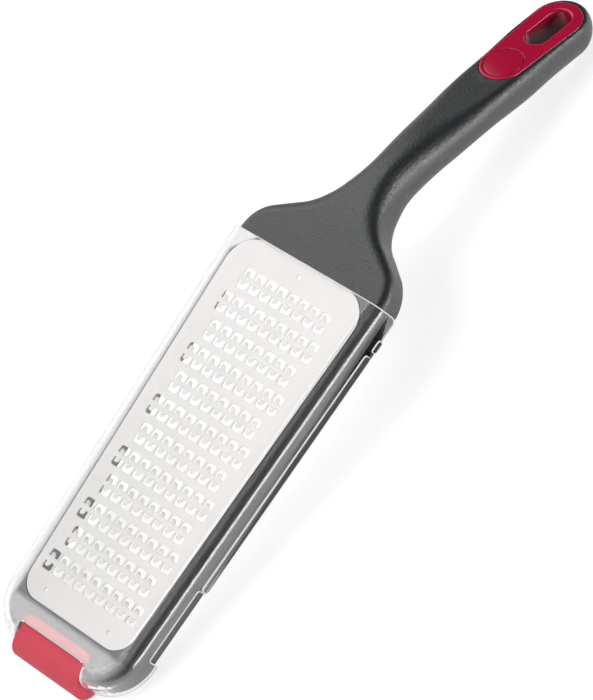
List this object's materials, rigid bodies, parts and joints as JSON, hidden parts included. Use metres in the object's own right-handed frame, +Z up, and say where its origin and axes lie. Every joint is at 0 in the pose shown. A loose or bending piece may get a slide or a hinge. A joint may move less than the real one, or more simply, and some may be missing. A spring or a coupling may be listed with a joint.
{
  "type": "hand grater",
  "caption": "Flat hand grater: a perforated steel blade in a moulded frame with an angled handle, a rubber foot at the tip, a hanging slot and a clear cover that comes off",
  "frame": {"origin": "bottom centre of the whole grater's box, as it stands on its foot and the end of its handle", "axes": "+Y runs from the foot to the handle's end, +Z is up with the blade on top, +X is to the right"},
  "size_m": [0.0848, 0.3252, 0.0425],
  "materials": {
    "blade_steel": "satin",
    "charcoal_plastic": "fine moulded grain",
    "red_rubber": "matte",
    "red_plastic": "gloss",
    "clear_plastic": "clear, gloss"
  },
  "bodies": {
    "grater": {"handle_frame": "charcoal_plastic", "grating_plate": "blade_steel", "foot": "red_rubber", "hanging_insert": "red_plastic", "medallion_disc": "red_plastic"},
    "cover": {"clear_cover": "clear_plastic"}
  },
  "joints": [
    {"name": "cover_slide", "type": "slide", "parent": "grater", "child": "cover", "axis": [0, -1, 0], "range_m": [0, 0.18]}
  ]
}
